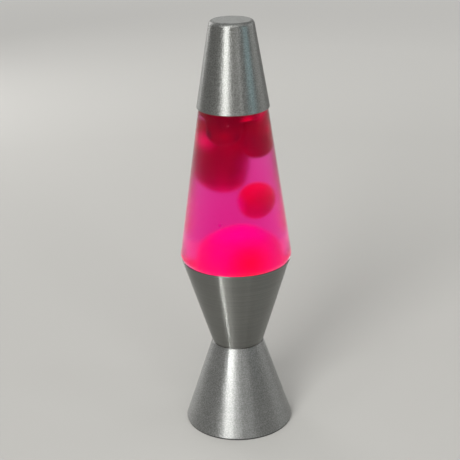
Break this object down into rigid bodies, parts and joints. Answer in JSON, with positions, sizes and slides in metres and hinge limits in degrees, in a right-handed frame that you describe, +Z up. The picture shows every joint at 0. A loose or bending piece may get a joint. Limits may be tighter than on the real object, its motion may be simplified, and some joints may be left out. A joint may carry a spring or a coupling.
{
  "type": "liquid motion lamp",
  "caption": "Table lamp with a tapered glass globe of coloured liquid and wax, held in a waisted base of two spun aluminium cones under a tapered metal cap.",
  "frame": {"origin": "middle of the foot, on the surface that the lamp stands on", "axes": "+Z up along the lamp's axis, -Y towards the front of the picture, +Y to the cord entry"},
  "size_m": [0.0974, 0.0974, 0.3684],
  "materials": {
    "spun_aluminium": "brushed",
    "globe_glass": "clear",
    "liquid": "clear pink tint",
    "wax": "soft translucent red",
    "steel": "plain",
    "brass": "plain",
    "solder": "soft",
    "bakelite": "moulded",
    "black_plastic": "moulded",
    "bulb_glass": "clear"
  },
  "bodies": {
    "base": {"lower_cone": "spun_aluminium", "upper_cone": "spun_aluminium", "waist_washer": "black_plastic", "lampholder_body": "bakelite", "lampholder_ring_nut": "bakelite", "screw_shell": "brass", "centre_contact": "brass", "contact_rivet": "brass", "terminal_plates": "brass", "terminal_screws": "brass", "bottom_cover": "black_plastic", "cord_bushing": "black_plastic"},
    "globe": {"glass_globe": "globe_glass", "crown_cap": "steel", "crown_liner": "black_plastic", "globe_liquid": "liquid", "wax_top": "wax", "wax_right_lobe": "wax", "wax_left_lobe": "wax", "wax_pool": "wax", "wire_coil": "steel"},
    "cap": {"top_cap": "spun_aluminium"},
    "ball": {"wax_ball": "wax"},
    "bulb": {"bulb_envelope": "bulb_glass", "bulb_screw_base": "brass", "bulb_insulator": "bakelite", "bulb_tip_contact": "solder", "bulb_stem": "bulb_glass", "bulb_lead_wires": "steel", "bulb_filament": "steel"}
  },
  "joints": [
    {"name": "globe_lift", "type": "slide", "parent": "base", "child": "globe", "axis": [0, 0, 1], "range_m": [0, 0.06]},
    {"name": "cap_lift", "type": "slide", "parent": "globe", "child": "cap", "axis": [0, 0, 1], "range_m": [0, 0.09]},
    {"name": "bulb_unscrew", "type": "hinge", "parent": "base", "child": "bulb", "pos_m": [0, 0, 0.08], "axis": [0, 0, 1], "range_deg": [0, 1080]},
    {"name": "wax_rise", "type": "slide", "parent": "globe", "child": "ball", "axis": [0, 0, 1], "range_m": [-0.004, 0.014], "deforming": ["globe_liquid"]}
  ]
}
